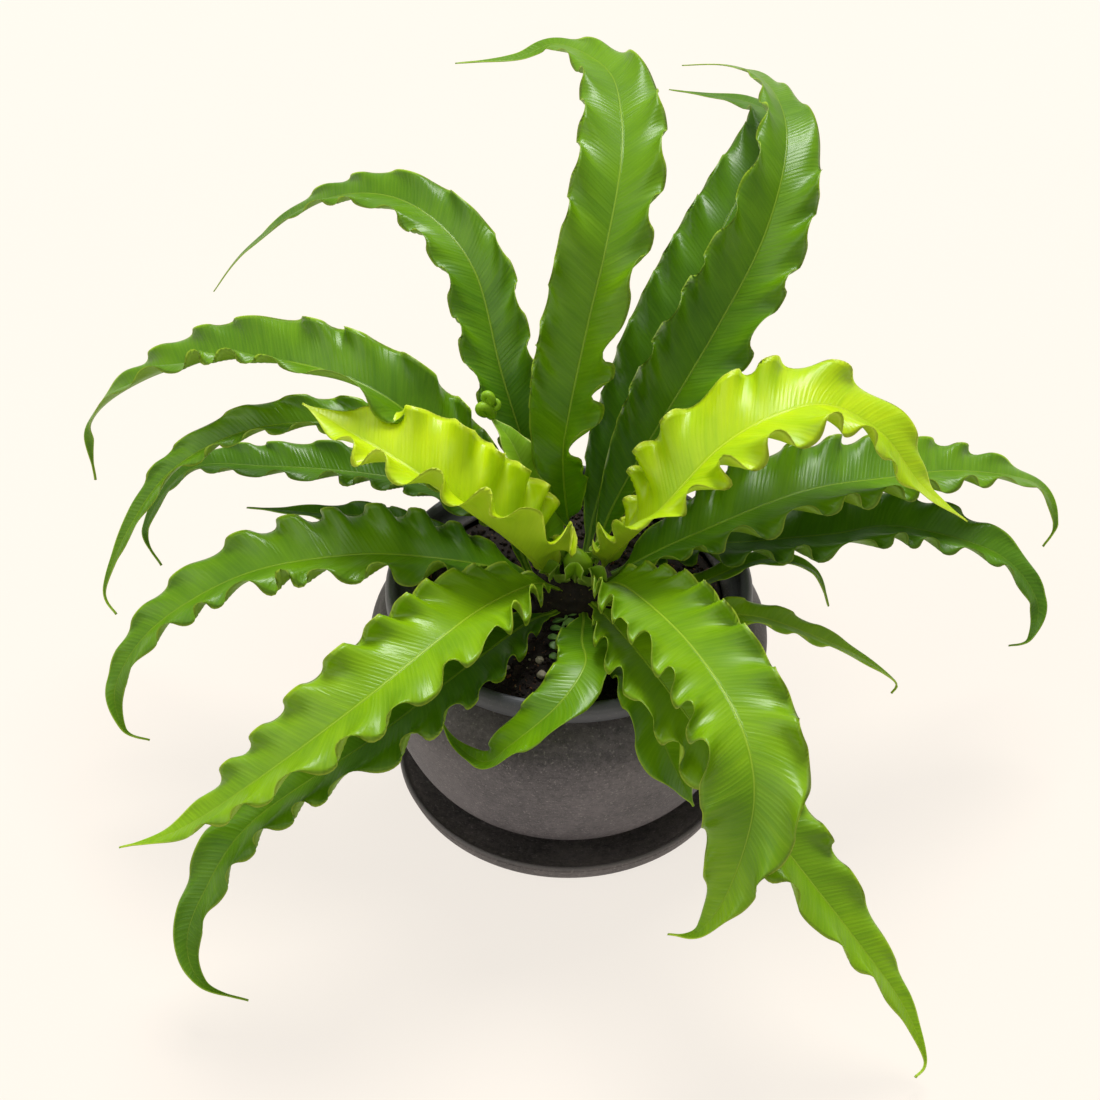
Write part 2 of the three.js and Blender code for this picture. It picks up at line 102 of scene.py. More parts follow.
# %% [markdown]
# ## Wiring helpers
# Materials and Geometry Nodes are both node trees. `Wire` stands for a value on its way between
# nodes, so that a sum such as `1 - mask` adds its own nodes. `Tree` adds any other node from its
# type, its settings and its inputs, and hands back wires.

# %% Values that can be reckoned with
class Wire:
    """A value that flows through a node tree and takes part in sums like a number."""

    def __init__(self, tree, socket):
        self.tree, self.socket = tree, socket
        self.wide = socket.type in {"VECTOR", "RGBA"}

    def worked(self, operation, *values):
        """What a Math node makes of the values, or a Vector Math node where one is a vector."""
        wide = any(value.wide if isinstance(value, Wire) else isinstance(value, tuple)
                   for value in values)
        if wide:
            values = [value if isinstance(value, (Wire, tuple)) else (value,) * 3
                      for value in values]
        kind = "ShaderNodeVectorMath" if wide else "ShaderNodeMath"
        return self.tree.node(kind, {"operation": operation}, dict(enumerate(values)))

    def __add__(self, other): return self.worked("ADD", self, other)
    def __radd__(self, other): return self.worked("ADD", other, self)
    def __sub__(self, other): return self.worked("SUBTRACT", self, other)
    def __rsub__(self, other): return self.worked("SUBTRACT", other, self)
    def __mul__(self, other): return self.worked("MULTIPLY", self, other)
    def __rmul__(self, other): return self.worked("MULTIPLY", other, self)
    def __truediv__(self, other): return self.worked("DIVIDE", self, other)
    def __pow__(self, other): return self.worked("POWER", self, other)
    def __abs__(self): return self.worked("ABSOLUTE", self)
    def sine(self): return self.worked("SINE", self)
    def cosine(self): return self.worked("COSINE", self)
    def sign(self): return self.worked("SIGN", self)
    def at_least(self, other): return self.worked("MAXIMUM", self, other)
    def at_most(self, other): return self.worked("MINIMUM", self, other)
    def cross(self, other): return self.worked("CROSS_PRODUCT", self, other)
    def unit(self): return self.worked("NORMALIZE", self)

    def rises(self, low, high):
        """0 below low, 1 above high, and a smooth step between them."""
        limits = {"Value": self, "From Min": low, "From Max": high}
        return self.tree.node("ShaderNodeMapRange", {"interpolation_type": "SMOOTHSTEP"}, limits)

    def parts(self):
        return self.tree.node("ShaderNodeSeparateXYZ", {}, {0: self}, (0, 1, 2))

# %% Trees that nodes are added to
class Tree:
    """A node tree under construction."""

    def __init__(self, tree):
        self.tree = tree

    def node(self, kind, settings=None, inputs=None, out=0):
        """Adds a node and returns the wire from its output, or a list for several outputs."""
        made = self.tree.nodes.new(kind)
        for name, value in (settings or {}).items():
            setattr(made, name, value)
        for name, value in (inputs or {}).items():
            if isinstance(value, Wire):
                self.tree.links.new(value.socket, made.inputs[name])
            elif isinstance(value, list):
                for wire in value:
                    self.tree.links.new(wire.socket, made.inputs[name])
            else:
                made.inputs[name].default_value = value
        if isinstance(out, tuple):
            return [Wire(self, made.outputs[one]) for one in out]
        return Wire(self, made.outputs[out]) if len(made.outputs) else None

    def vector(self, x, y, z):
        return self.node("ShaderNodeCombineXYZ", {}, {0: x, 1: y, 2: z})

    def attribute(self, name):
        return self.node("ShaderNodeAttribute", {"attribute_name": name}, {}, "Fac")

    def spot(self):
        """Where a point of the piece lies, in metres."""
        return self.node("ShaderNodeTexCoord", {}, {}, "Object")

    def cloud(self, place, scale, detail=3, roughness=0.5):
        """Soft noise about 0.5, with features of about 1/scale."""
        sizes = {"Vector": place, "Scale": scale, "Detail": detail, "Roughness": roughness}
        return self.node("ShaderNodeTexNoise", {}, sizes)

    def blend(self, share, first, second):
        """A colour that goes from first to second as share goes from 0 to 1."""
        return self.node("ShaderNodeMix", {"data_type": "RGBA"}, {0: share, 6: first, 7: second}, 2)

    def bump(self, relief, strength, distance):
        """Shading as if the surface stood out by the relief, times a distance in metres."""
        return self.node("ShaderNodeBump", {}, {
            "Strength": strength, "Distance": distance, "Height": relief})

    def principled(self, inputs):
        return self.node("ShaderNodeBsdfPrincipled", {}, inputs)

    def covers(self, shader):
        """Ends a finish: the shader covers the surface."""
        self.node("ShaderNodeOutputMaterial", {}, {"Surface": shader})


def srgb(red, green, blue):
    """A colour as a picture shows it, 0 to 255 a channel, in the linear values that shaders use."""
    shares = [channel / 255 for channel in (red, green, blue)]
    return (*(s / 12.92 if s <= 0.04045 else ((s + 0.055) / 1.055) ** 2.4 for s in shares), 1)


def new_finish(name):
    material = bpy.data.materials.new(name)
    material.use_nodes = True
    material.node_tree.nodes.clear()
    return material, Tree(material.node_tree)

# %% [markdown]
# ## Table
# The studio's table is a large flat sheet of matt paint. It isn't part of the plant. Much of its
# brightness is a glow of its own, which keeps the plant's shadow as faint as a studio's many
# lamps would.

# %% Table
TABLE_HALF = 6
TABLE_GLOW = 0.82
paint, tree = new_finish("table_paint")
tree.covers(tree.principled({
    "Base Color": tree.blend(tree.cloud(tree.spot(), 3), srgb(92, 86, 76), srgb(96, 90, 80)),
    "Roughness": 0.9, "Emission Color": srgb(254, 247, 239), "Emission Strength": TABLE_GLOW}))
table_mesh = bpy.data.meshes.new("table")
corners = [(x * TABLE_HALF, y * TABLE_HALF, 0) for x, y in ((-1, -1), (1, -1), (1, 1), (-1, 1))]
table_mesh.from_pydata(corners, [], [(0, 1, 2, 3)])
table_mesh.materials.append(paint)
table = placed("table", table_mesh)
print("table:", 2 * TABLE_HALF, "m wide")

# %% [markdown]
# ## Leaf finish
# A frond is a glossy leaf with a pale margin and a pale midrib. Fine veins run from the midrib to
# the margin, slanting toward the tip. The pattern has to follow the blade, so it reads values that
# the frond's own tree stores on it: how far along and across a point lies, how far it is from the
# margin, and where it lies across the veins, both in millimetres. Light also shines through a thin
# blade, so a share of the shader is translucent.

# %% Leaf finish
VEIN_STEP, VEIN_WANDER = 2.3, 9
MARGIN_WIDTH = 0.75
PALE_RIM, PALE_RIB, PALE_UNDERSIDE, PALE_VEIN = 0.8, 0.38, 0.35, 0.07
PATCH_DEPTH, STREAK_DEPTH, FROND_DEPTH = 0.4, 0.8, 0.35
CROWN_SHADE_REACH = 0.45
VEIN_RELIEF, STREAK_RELIEF, PORE_RELIEF = 0.16, 1.7, 0.2
ROUGH_PATCHES, ROUGH_UNDERSIDE = 0.14, 0.12
LIGHT_THROUGH = 0.24


def leaf_finish(name, tones, shine, root):
    """The tones are the blade's lighter and darker ones, its pale edge, and the light through it
    from behind. The root says how much darker the blade is painted near the crown, as painted
    shade where the fronds crowd together."""
    material, tree = new_finish(name)
    face, deep, edge, through = (srgb(*tone) for tone in tones)
    along, vein, margin = (tree.attribute(key) for key in ("along", "vein", "margin"))
    under, rib, tone = (tree.attribute(key) for key in ("under", "rib", "tone"))
    spot = tree.spot()
    patches = tree.cloud(spot, 26, 3, 0.55).rises(0.3, 0.7)
    streaks = tree.cloud(tree.vector(vein * 0.32, margin * 0.03, tone * 20), 1, 3, 0.6)
    lines = (vein * (math.tau / VEIN_STEP) + VEIN_WANDER * streaks).sine()
    # Painted shade: the blade is painted darker toward the crown, where the fronds crowd and shade
    # each other.
    painted_crown_shade = 1 - along.rises(0, CROWN_SHADE_REACH)
    mottle_and_crown_shade = patches * PATCH_DEPTH + streaks * STREAK_DEPTH
    mottle_and_crown_shade = mottle_and_crown_shade + tone * FROND_DEPTH - FROND_DEPTH + root * painted_crown_shade
    colour = tree.blend(mottle_and_crown_shade, face, deep)
    colour = tree.blend(lines.rises(0.6, 1) * PALE_VEIN, colour, edge)
    colour = tree.blend(under * PALE_UNDERSIDE, colour, edge)
    rim = 1 - margin.rises(MARGIN_WIDTH * 0.3, MARGIN_WIDTH)
    colour = tree.blend((rim * PALE_RIM).at_least(rib * PALE_RIB), colour, edge)
    pores = tree.cloud(spot, 900, 2)
    relief = lines * VEIN_RELIEF + streaks * STREAK_RELIEF + pores * PORE_RELIEF
    roughness = shine + ROUGH_PATCHES * patches + ROUGH_UNDERSIDE * under
    gloss = tree.principled({
        "Base Color": colour, "Roughness": roughness, "Specular IOR Level": 0.36,
        "Normal": tree.bump(relief, 0.45, 0.0004)})
    glow = tree.node("ShaderNodeBsdfTranslucent", {}, {"Color": through})
    tree.covers(tree.node("ShaderNodeMixShader", {}, {0: LIGHT_THROUGH, 1: gloss, 2: glow}))
    return material


LEAF_TONES = {
    "frond_mature": (((112, 158, 6), (64, 110, 3), (174, 204, 56), (150, 196, 4)), 0.28, 0.45),
    # frond_shaded and frond_bright are darker and lighter copies of frond_mature: painted shade for
    # fronds lying back under others, painted light for the front fronds facing the light.
    "frond_shaded": (((88, 134, 6), (48, 90, 4), (146, 180, 50), (120, 172, 4)), 0.3, 0.45),
    "frond_bright": (((134, 176, 8), (84, 130, 4), (190, 214, 64), (168, 206, 6)), 0.28, 0.2),
    "frond_young": (((206, 228, 8), (150, 192, 4), (222, 236, 80), (206, 230, 6)), 0.3, 0.0),
    # young_leaf is lighter than the young leaves' own green: partly painted light, which lifts the
    # bud out of the shade of the fronds round it.
    "young_leaf": (((158, 200, 34), (112, 164, 14), (206, 222, 110), (180, 214, 30)), 0.34, 0.0),
}
FINISH = {name: leaf_finish(name, *row) for name, row in LEAF_TONES.items()}
print("leaf finishes:", ", ".join(FINISH))

# %% [markdown]
# ## Fronds
# Every frond follows one rule: a midrib on a smooth arch, two halves that rise into a shallow
# channel, and a margin longer than the blade it borders, which therefore swings up and down in
# waves. One Geometry Nodes tree holds that rule, and each frond is a row of numbers. A flat grid is
# laid along the midrib, because its rows and columns then carry the values that the finish needs.
# Both faces of the blade are copies of that grid, drawn apart a little and welded at the margin.

# %% Tools for growing
def new_growth(name, sockets):
    """An empty Geometry Nodes tree with named inputs, and a wire from each of them."""
    group = bpy.data.node_groups.new(name, "GeometryNodeTree")
    for socket, kind in sockets.items():
        group.interface.new_socket(socket, in_out="INPUT", socket_type="NodeSocket" + kind)
    group.interface.new_socket("Grown", in_out="OUTPUT", socket_type="NodeSocketGeometry")
    tree = Tree(group)
    return group, tree, dict(zip(sockets, tree.node("NodeGroupInput", {}, {}, tuple(sockets))))


def stored(tree, shape, name, value):
    """Writes a value on every point of a shape, under a name that a finish can read."""
    inputs = {"Geometry": shape, "Name": name, "Value": value}
    return tree.node("GeometryNodeStoreNamedAttribute", {"domain": "POINT"}, inputs)


def read_back(tree, name):
    return tree.node("GeometryNodeInputNamedAttribute", {}, {"Name": name})


def moved(tree, shape, offset):
    return tree.node("GeometryNodeSetPosition", {}, {"Geometry": shape, "Offset": offset})


def joined(tree, *shapes):
    return tree.node("GeometryNodeJoinGeometry", {}, {"Geometry": list(shapes)})


def finish_growth(tree, shape, material):
    """Every tree ends alike: smooth faces, real geometry and a finish."""
    smooth = tree.node("GeometryNodeSetShadeSmooth", {}, {"Geometry": shape})
    real = tree.node("GeometryNodeRealizeInstances", {}, {"Geometry": smooth})
    done = tree.node("GeometryNodeSetMaterial", {}, {"Geometry": real, "Material": material})
    tree.node("NodeGroupOutput", {}, {"Grown": done})


def smooth_rib(tree, stations, count):
    """A smooth curve through the stations, cut into equal steps."""
    line = tree.node("GeometryNodeMeshToCurve", {}, {"Mesh": stations})
    line = tree.node("GeometryNodeCurveSplineType", {"spline_type": "CATMULL_ROM"}, {"Curve": line})
    line = tree.node("GeometryNodeSetSplineResolution", {}, {"Geometry": line, "Resolution": 40})
    return tree.node("GeometryNodeResampleCurve", {"mode": "COUNT"}, {
        "Curve": line, "Count": count})

# %% Frond tree: a sheet along the midrib
COLUMNS, COLUMN_EVENNESS = 31, 0.75
SPOTS = ("base", "middle", "tip")
NUMBERS = ("Width", "Taper", "Waves", "Ripple", "Wave shift", "Tone", "Ruffle", "Drift")
ANGLES = [f"{part} {spot}" for part in ("Fold", "Roll") for spot in SPOTS]
FROND_INPUTS = {
    "Rib": "Geometry", **dict.fromkeys([*NUMBERS, *ANGLES], "Float"), "Rows": "Int",
    "Finish": "Material"}
frond_tree, tree, plan = new_growth("frond", FROND_INPUTS)
rib = smooth_rib(tree, plan["Rib"], 320)
sheet = tree.node("GeometryNodeMeshGrid", {}, {
    "Size X": 2, "Size Y": 1, "Vertices X": COLUMNS, "Vertices Y": plan["Rows"]})
x, y, _ = tree.node("GeometryNodeInputPosition").parts()
closer_outward = COLUMN_EVENNESS + (1 - COLUMN_EVENNESS) * x * x
sheet = stored(tree, sheet, "across", x * closer_outward)
sheet = stored(tree, sheet, "along", y + 0.5)
across, along = read_back(tree, "across"), read_back(tree, "along")
outward = abs(across)


def down_the_blade(part):
    """An angle given at base, middle and tip, eased from one to the next."""
    base, middle, tip = (plan[f"{part} {spot}"] for spot in SPOTS)
    to_middle, to_tip = (along * 2).at_most(1), (along * 2 - 1).at_least(0)
    return base + (middle - base) * to_middle + (tip - middle) * to_tip


spot, direction = tree.node(
    "GeometryNodeSampleCurve", {"mode": "FACTOR", "use_all_curves": True},
    {"Curves": rib, "Factor": along}, ("Position", "Tangent"))
dir_x, dir_y, _ = direction.parts()
level = tree.vector(dir_y, dir_x * -1, 0).unit()
roll = down_the_blade("Roll")
side = level * roll.cosine() + level.cross(direction) * roll.sine()
up = side.cross(direction)

# %% Width of the blade
STALK_HALF_WIDTH, STALK_TAPER = 2.4 * MM, 0.7
SPREAD_START, SPREAD_LENGTH = 0.02, 0.3
TIP_POWER = 1.5
widening = ((along - SPREAD_START) / SPREAD_LENGTH).at_least(0).at_most(1)
narrowing = ((along - plan["Taper"]) / (1 - plan["Taper"])).at_least(0)
share = (widening * (math.pi / 2)).sine() * (1 - narrowing * narrowing).at_least(0) ** TIP_POWER
stalk = STALK_HALF_WIDTH * (1 - STALK_TAPER * along)
half_width = stalk.at_least(plan["Width"] * 0.5 * share)

# %% Waves of the margin
# Waves crowd toward the crown, slant with the veins, and are of uneven length and height. Near the
# crown, the frond's share of tight ruffles takes over from them. All these are shares or turns.
WAVE_CROWDING, PLEAT_SLANT = 0.35, 0.04
MARGIN_SHIFT, TURN_WANDER = 0.37, 0.9
LOW_WAVE, WAVE_VARIETY = 0.35, 1.3
CALMING, CALM_FROM, CALM_TO = 0.22, 0.15, 0.6
TIGHTNESS, TIGHT_PLACE, TIGHT_REACH, TIGHT_SWING, LOOSE_LOSS = 1.25, 0.17, 0.16, 1.15, 0.8


def bell(value, place, reach):
    """1 at a place along the frond, falling off to 0 over the given reach."""
    away = (value - place) / reach
    return tree.node("ShaderNodeMath", {"operation": "EXPONENT"}, {0: away * away * -1})


slanted = along - PLEAT_SLANT * outward * outward
waves = plan["Waves"] * slanted * (1 + WAVE_CROWDING - WAVE_CROWDING * slanted)
shift = plan["Wave shift"] + MARGIN_SHIFT * across.sign()
unevenness = tree.node("ShaderNodeTexNoise", {"noise_dimensions": "1D"}, {
    "W": waves * 0.45 + shift * 7 + across.sign() * 3, "Scale": 1, "Detail": 1})
turn = (waves + shift + TURN_WANDER * (unevenness - 0.5)) * math.tau
calm = 1 - CALMING * along.rises(CALM_FROM, CALM_TO)
swing = turn.sine() * (LOW_WAVE + WAVE_VARIETY * unevenness) * calm
tight_turn = turn * TIGHTNESS + across.sign()
tight = bell(along, TIGHT_PLACE, TIGHT_REACH) * plan["Ruffle"]

# %% Rise and drift of the margin
# The margin swings up and down, and sideways along the midrib twice as often, so that it follows a
# meander, as a strip that is too long for its place does.
INNER_REACH, REACH_POWER = 0.25, 2.2
MAX_RISE = math.radians(84)
TIGHT_DRIFT = 0.9
reach_in = INNER_REACH * outward + (1 - INNER_REACH) * outward ** REACH_POWER
loose, curled = swing * (1 - LOOSE_LOSS * tight), tight * TIGHT_SWING * tight_turn.sine() * outward
opened = down_the_blade("Fold") + plan["Ripple"] * reach_in * (loose + curled)
rise = (opened * (share * 2).at_most(1)).at_most(MAX_RISE)
length = tree.node("GeometryNodeCurveLength", {}, {"Curve": rib})
wave_length = length / plan["Waves"] / math.tau
sideways = (turn * 2).sine() * (1 - tight)
sideways = sideways + (tight_turn * 2).sine() * tight * TIGHT_DRIFT / TIGHTNESS
drift = wave_length * plan["Drift"] * outward ** 2 * share * calm * sideways
place = spot + side * (across * half_width * rise.cosine())
place = place + up * (outward * half_width * rise.sine()) - direction * drift
sheet = tree.node("GeometryNodeSetPosition", {}, {"Geometry": sheet, "Position": place})

# %% Faces, midrib and the values that the finish reads
LEAF_THICKNESS = 0.7 * MM
RIB_RADIUS, RIB_TAPER = 0.95 * MM, 0.65
VEIN_SLANT, VEIN_OFFSET = 0.6, 7
WELD, WELL_INSIDE = 0.002 * MM, 5.0
across_veins = (along * length - VEIN_SLANT * outward * half_width) / MM
for name, value in {
        "margin": (1 - outward) * half_width / MM,
        "vein": across_veins + across.sign() * VEIN_OFFSET, "tone": plan["Tone"]}.items():
    sheet = stored(tree, sheet, name, value)
normal = tree.node("GeometryNodeInputNormal")
closing = (1 - outward ** 8) * (1 - abs(along * 2 - 1) ** 60)


def face_of_blade(way):
    """A copy of the sheet, half the leaf's thickness off it, that meets it at its edges."""
    return moved(tree, sheet, normal * (closing * (way * LEAF_THICKNESS / 2)))


lower = stored(tree, face_of_blade(-1), "under", 1.0)
lower = tree.node("GeometryNodeFlipFaces", {}, {"Mesh": lower})
blade = tree.node("GeometryNodeMergeByDistance", {}, {
    "Geometry": joined(tree, lower, face_of_blade(1)), "Distance": WELD})
cord = smooth_rib(tree, plan["Rib"], 150)
reached = tree.node("GeometryNodeSplineParameter", {}, {}, "Factor")
for name, value in {
        "rib": 1.0, "along": reached, "margin": WELL_INSIDE, "tone": plan["Tone"]}.items():
    cord = stored(tree, cord, name, value)
ring = tree.node("GeometryNodeCurvePrimitiveCircle", {}, {"Resolution": 8, "Radius": 1.0})
midrib = tree.node("GeometryNodeCurveToMesh", {}, {
    "Curve": cord, "Profile Curve": ring, "Scale": RIB_RADIUS * (1 - RIB_TAPER * reached),
    "Fill Caps": True})
finish_growth(tree, joined(tree, blade, midrib), plan["Finish"])
print("frond tree:", len(frond_tree.nodes), "nodes")

# %% [markdown]
# ## One row of numbers for each frond
# A row holds the frond's name, its seat on the crown (the direction round it and the height up the
# dome, in degrees), the points along its midrib and its width in millimetres, the share of its
# length where it starts to taper, its number of waves, their swing in degrees, the share of tight
# ruffles near the crown, its fold and its roll in degrees at base, middle and tip, and its finish.
# The young fronds stand folded into a deep channel near the crown and open flat toward the tip,
# and their ruffles are tighter.

# %% Frond table
CROWN_CENTRE, CROWN_RADIUS, SEAT_DEPTH = (3, 6, 112), 22, 4
WAVE_SHIFT = 0.618
ROWS_PER_WAVE = 17
RIPPLE_SHARE, DRIFT = 0.7, 0.4
FRONDS = [
    ("frond_back_middle", (92, 56), [
        (-1, 19, 154), (-3, 25, 183), (0, 29, 211), (9, 43, 255), (17, 57, 288), (24, 88, 312),
        (25, 122, 321), (19, 162, 322), (-5, 206, 311), (-26, 207, 303), (-58, 206, 300)],
     46, 0.5, 13, 22, 0.4, (34, 22, 10), (0, 0, 0), "frond_mature"),
    ("frond_back_right_near", (44, 54), [
        (20, 26, 149), (34, 37, 175), (50, 49, 200), (72, 71, 230), (93, 95, 262), (105, 124, 287),
        (108, 160, 295), (101, 209, 288), (84, 246, 275), (62, 268, 262)],
     50, 0.3, 13, 22, 0.3, (30, 24, 10), (-10, -24, -20), "frond_mature"),
    ("frond_back_right_far", (72, 36), [
        (13, 38, 140), (22, 56, 163), (36, 76, 184), (53, 99, 212), (74, 133, 238), (92, 170, 253),
        (106, 212, 260), (97, 248, 251), (57, 296, 230)],
     44, 0.36, 13, 22, 0.0, (30, 22, 10), (0, 0, 0), "frond_shaded"),
    ("frond_back_left_arch", (118, 40), [
        (-16, 42, 154), (-33, 70, 202), (-47, 108, 239), (-72, 140, 252), (-102, 166, 247),
        (-137, 192, 222), (-175, 208, 182), (-195, 213, 152)],
     38, 0.35, 13, 20, 0.2, (32, 24, 14), (6, 12, 6), "frond_mature"),
    ("frond_left_upper", (158, 42), [
        (-28, 19, 148), (-57, 32, 183), (-93, 45, 211), (-134, 65, 214), (-177, 90, 198),
        (-219, 107, 172), (-251, 116, 138), (-252, 108, 104)],
     48, 0.5, 12, 18, 0.0, (34, 36, 20), (0, 0, 0), "frond_mature"),
    ("frond_left_young", (200, 54), [
        (-17, -12, 152), (-32, -14, 171), (-49, -12, 185), (-76, 0, 200), (-106, 19, 208),
        (-129, 31, 216)],
     66, 0.56, 9, 24, 0.9, (62, 50, 16), (-14, -4, 6), "frond_young"),
    ("frond_left_middle", (166, 26), [
        (-34, 26, 146), (-73, 40, 168), (-108, 58, 180), (-157, 56, 180), (-197, 48, 162),
        (-221, 36, 134), (-236, 22, 104), (-230, 13, 94)],
     30, 0.45, 13, 20, 0.0, (28, 30, 14), (0, 0, 0), "frond_mature"),
    ("frond_left_rear", (140, 22), [
        (-34, 40, 132), (-69, 55, 142), (-102, 63, 145), (-154, 74, 141), (-197, 85, 130),
        (-222, 76, 98), (-214, 64, 82)],
     32, 0.45, 12, 18, 0.0, (22, 26, 14), (0, 0, 0), "frond_shaded"),
    ("frond_left_hidden", (178, 14), [
        (-52, 22, 129), (-96, 44, 131), (-127, 51, 129), (-166, 64, 122)],
     18, 0.5, 7, 18, 0.0, (16, 20, 10), (0, 0, 0), "frond_shaded"),
    ("frond_left_lower", (204, 34), [
        (-29, -4, 138), (-65, -11, 153), (-106, -12, 156), (-159, -8, 140), (-204, -15, 113),
        (-226, -27, 84), (-223, -40, 65), (-210, -43, 60)],
     52, 0.38, 12, 22, 0.0, (22, 20, 14), (0, 0, 0), "frond_mature"),
    ("frond_front_left_upper", (236, 48), [
        (-17, -20, 144), (-40, -50, 157), (-62, -82, 164), (-101, -118, 154), (-149, -135, 122),
        (-183, -139, 97), (-211, -137, 84)],
     54, 0.5, 12, 24, 0.9, (24, 20, 12), (0, 0, 0), "frond_bright"),
    ("frond_front_left_lower", (242, 20), [
        (-22, -34, 130), (-55, -80, 139), (-92, -112, 130), (-149, -129, 92), (-173, -145, 60),
        (-181, -159, 40), (-173, -173, 28), (-152, -176, 20)],
     44, 0.45, 13, 22, 0.3, (14, 18, 14), (0, 0, 0), "frond_mature"),
    ("frond_front_small", (280, 20), [
        (6, -46, 131), (7, -71, 138), (-6, -93, 133), (-28, -104, 118), (-40, -105, 108),
        (-54, -96, 111), (-62, -85, 118)],
     28, 0.5, 7, 14, 0.0, (10, 12, 30), (0, 0, 0), "frond_mature"),
    ("frond_front_right_long", (296, 30), [
        (32, -70, 146), (57, -114, 141), (89, -150, 114), (128, -177, 71), (153, -192, 39),
        (165, -207, 16), (160, -214, 11)],
     46, 0.5, 13, 22, 0.7, (24, 22, 14), (0, 0, 0), "frond_bright"),
    ("frond_front_right_wide", (306, 48), [
        (27, -33, 154), (55, -89, 169), (75, -137, 167), (81, -167, 148), (72, -184, 112),
        (58, -193, 90), (44, -188, 82)],
     52, 0.62, 12, 24, 0.9, (20, 20, 12), (0, 0, 0), "frond_bright"),
    ("frond_front_right_under", (302, 12), [
        (31, -58, 126), (37, -86, 134), (45, -108, 119), (58, -122, 96)],
     30, 0.78, 6, 16, 0.0, (14, 18, 10), (0, 0, 0), "frond_mature"),
    ("frond_right_young", (6, 54), [
        (24, -3, 152), (45, -9, 184), (71, 2, 211), (97, 13, 222), (124, 24, 220), (151, 24, 203),
        (172, 14, 178), (196, 11, 158)],
     60, 0.5, 11, 24, 0.9, (42, 18, 14), (14, 0, 0), "frond_young"),
    ("frond_right_long", (346, 42), [
        (35, -1, 143), (61, 4, 155), (114, 20, 169), (161, 42, 160), (200, 63, 147), (243, 81, 124),
        (256, 76, 102), (250, 70, 90)],
     54, 0.42, 12, 20, 0.3, (20, 20, 16), (0, 0, 0), "frond_mature"),
    ("frond_right_lower", (22, 22), [
        (55, 16, 136), (93, 12, 144), (130, 16, 145), (167, 31, 137), (217, 33, 118), (239, 22, 96),
        (236, 10, 80), (226, 11, 74)],
     44, 0.5, 12, 20, 0.0, (18, 20, 16), (0, 0, 0), "frond_shaded"),
    ("frond_right_curl", (354, 16), [
        (55, -6, 128), (85, 5, 134), (102, 10, 134), (123, 12, 124), (131, 6, 106)],
     12, 0.6, 5, 16, 0.0, (16, 20, 10), (0, 0, 0), "frond_mature"),
    ("frond_right_small", (326, 18), [
        (49, -26, 131), (82, -33, 136), (102, -31, 129), (138, -28, 107), (162, -29, 88),
        (161, -31, 81)],
     19, 0.5, 7, 16, 0.0, (14, 16, 10), (0, 0, 0), "frond_bright"),
    ("frond_back_left_crozier", (156, 54), [
        (-13, 19, 149), (-20, 28, 169), (-29, 38, 187), (-40, 48, 196)],
     22, 0.6, 5, 18, 0.0, (30, 24, 20), (0, 0, 0), "young_leaf"),
]
print("fronds:", len(FRONDS))

# %% Grow the fronds
def run_tree(piece, group, values):
    """Runs a tree on a piece and leaves what has grown as the piece's plain mesh."""
    growth = piece.modifiers.new("growth", "NODES")
    growth.node_group = group
    for item in group.interface.items_tree:
        if item.in_out == "INPUT" and item.name in values:
            growth[item.identifier] = values[item.name]
    solid = piece.evaluated_get(bpy.context.evaluated_depsgraph_get())
    mesh = bpy.data.meshes.new_from_object(solid)
    piece.modifiers.remove(growth)
    piece.data = mesh
    return piece


def grown(name, points, group, values):
    """Runs a tree on a line through points."""
    line = bpy.data.meshes.new(name)
    line.from_pydata(points, [(i, i + 1) for i in range(len(points) - 1)], [])
    piece = run_tree(placed(name, line), group, values)
    piece.data.name = name
    return piece


def seat(direction, rise, radius):
    """A point on the crown's dome, in millimetres."""
    around, up = math.radians(direction), math.radians(rise)
    turned_out = (math.cos(up) * math.cos(around), math.cos(up) * math.sin(around), math.sin(up))
    return tuple(centre + radius * part for centre, part in zip(CROWN_CENTRE, turned_out))


def metres(points):
    return [tuple(part * MM for part in point) for point in points]


def three_angles(part, angles):
    """A part's angles at base, middle and tip, in radians, under the names of the inputs."""
    return {f"{part} {spot}": angle for spot, angle in zip(SPOTS, angles)}


def frond_values(index, width, taper, waves, ripple, ruffle, fold, roll, finish):
    return {
        "Width": width * MM, "Taper": taper, "Waves": float(waves), "Ruffle": ruffle,
        "Ripple": math.radians(ripple * RIPPLE_SHARE), "Drift": DRIFT,
        "Wave shift": WAVE_SHIFT * index, "Tone": index * WAVE_SHIFT % 1,
        "Rows": waves * ROWS_PER_WAVE + 1, "Finish": FINISH[finish],
        **three_angles("Fold", map(math.radians, fold)),
        **three_angles("Roll", map(math.radians, roll))}


def dressed(piece, slot, *nodes):
    """A finished piece moves with the plant and stands for its solids."""
    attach(piece, "root")
    if nodes:
        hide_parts(*nodes)


fronds = {}
for index, (name, place, stations, *sizes) in enumerate(FRONDS):
    ends = [seat(*place, CROWN_RADIUS - SEAT_DEPTH), seat(*place, CROWN_RADIUS + SEAT_DEPTH)]
    values = frond_values(index, *sizes)
    fronds[name] = grown(name + "_leaf", metres(ends + stations), frond_tree, values)
    dressed(fronds[name], sizes[-1], name)
print("fronds:", sum(len(piece.data.polygons) for piece in fronds.values()), "faces")

# %% [markdown]
# ## Pot and saucer
# Both are turned on a wheel, so each is an outline swung round the upright axis. The outline is the
# solids' own, with many more points, and the wall wanders by a fraction of a millimetre, as thrown
# clay does. The rounded lip is a separate roll above a narrow groove.

# %% Turned pieces
def from_bmesh(name, solid, material):
    """A piece with smooth faces that point outwards."""
    for face in solid.faces:
        face.smooth = True
    bmesh.ops.recalc_face_normals(solid, faces=solid.faces)
    mesh = bpy.data.meshes.new(name)
    solid.to_mesh(mesh)
    solid.free()
    mesh.materials.append(material)
    return placed(name, mesh)


